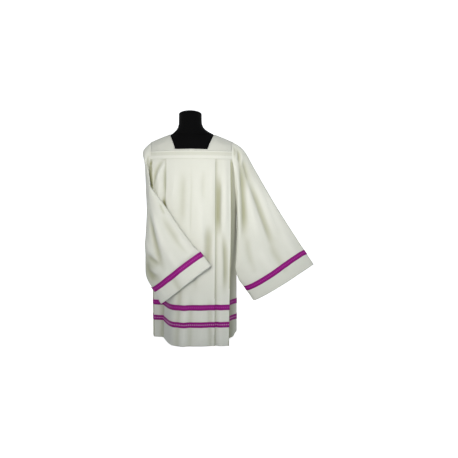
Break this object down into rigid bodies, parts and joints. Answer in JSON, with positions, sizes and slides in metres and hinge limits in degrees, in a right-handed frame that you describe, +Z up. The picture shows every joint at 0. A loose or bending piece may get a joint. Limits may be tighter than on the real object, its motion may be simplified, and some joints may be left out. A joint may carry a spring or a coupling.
{
  "type": "surplice on a dress form",
  "caption": "Pleated square-necked surplice with wide sleeves and woven ribbons at hem and cuffs, worn by a limbless dress form on a short round stand.",
  "frame": {"origin": "centre of the underside of the stand's round base, on the floor", "axes": "+Z up the stand and the neck, -Y towards the garment's front, +X towards the viewer's right seen from the front"},
  "size_m": [0.7824, 0.326, 1.057],
  "materials": {
    "ivory_cloth": "matt plain-woven ivory cloth with a faint sheen",
    "white_trim": "narrow white folded binding",
    "purple_ribbon": "woven magenta galloon ribbon, satin centre and darker edges",
    "black_form": "matt black jersey stretched over a moulded form",
    "black_steel": "satin black powder coat"
  },
  "bodies": {
    "root": {"yoke_front": "ivory_cloth", "yoke_back": "ivory_cloth", "chest_band_front": "ivory_cloth", "chest_band_back": "ivory_cloth", "body_front": "ivory_cloth", "body_back": "ivory_cloth", "sleeve_right": "ivory_cloth", "sleeve_left": "ivory_cloth", "neck_binding_front": "white_trim", "neck_binding_back": "white_trim", "hem_ribbon_upper_front": "purple_ribbon", "hem_ribbon_lower_front": "purple_ribbon", "hem_ribbon_upper_back": "purple_ribbon", "hem_ribbon_lower_back": "purple_ribbon", "cuff_ribbon_right": "purple_ribbon", "cuff_ribbon_left": "purple_ribbon", "form_torso": "black_form", "form_neck_cap": "black_form", "stand_post": "black_steel", "stand_base": "black_steel"}
  },
  "joints": []
}
